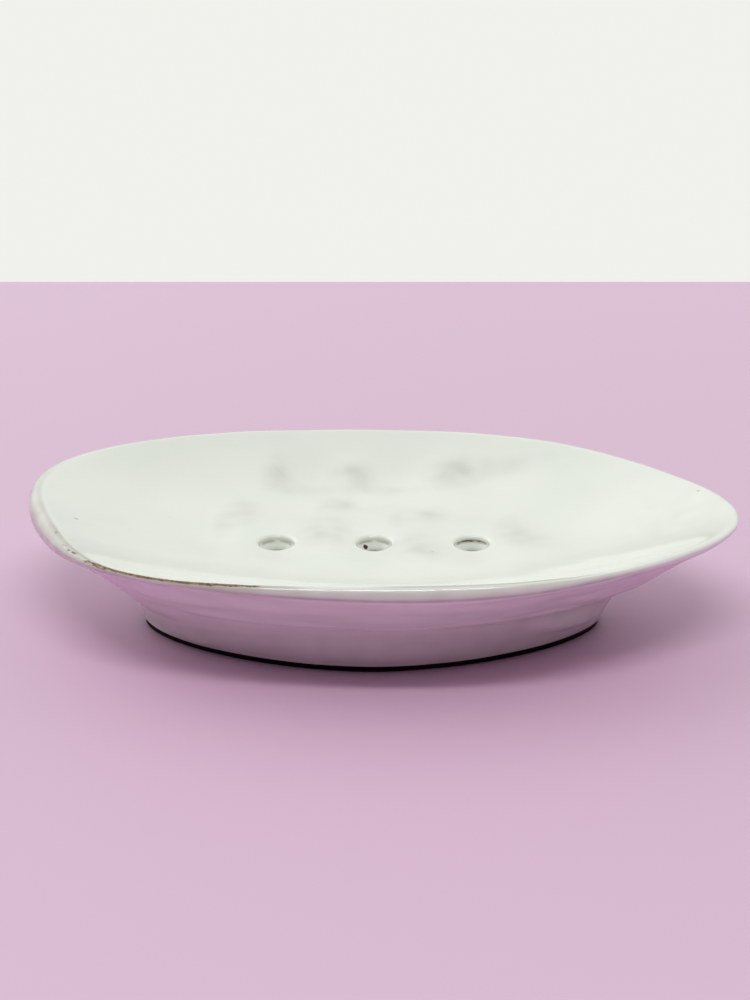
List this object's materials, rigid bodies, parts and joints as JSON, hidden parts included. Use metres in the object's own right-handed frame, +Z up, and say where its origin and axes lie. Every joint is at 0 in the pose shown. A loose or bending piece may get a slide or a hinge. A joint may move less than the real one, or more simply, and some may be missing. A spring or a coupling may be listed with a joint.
{
  "type": "soap dish",
  "caption": "Hand-built ceramic soap dish with white glaze over dark clay, a pointed oval basin, drain holes and a hollow oval foot",
  "frame": {"origin": "middle of the bounding box in plan, on the table face of the foot", "axes": "+X along the dish to its pointed end, +Y to the back, away from the side that the picture shows, +Z up"},
  "size_m": [0.16, 0.1, 0.028],
  "materials": {
    "dark_clay": "matte",
    "white_glaze": "gloss"
  },
  "bodies": {
    "root": {"dish_bowl": "dark_clay", "foot_ring": "dark_clay", "joint_coil": "dark_clay", "glaze_inside": "white_glaze", "glaze_outside": "white_glaze", "glaze_underside": "white_glaze"}
  },
  "joints": []
}
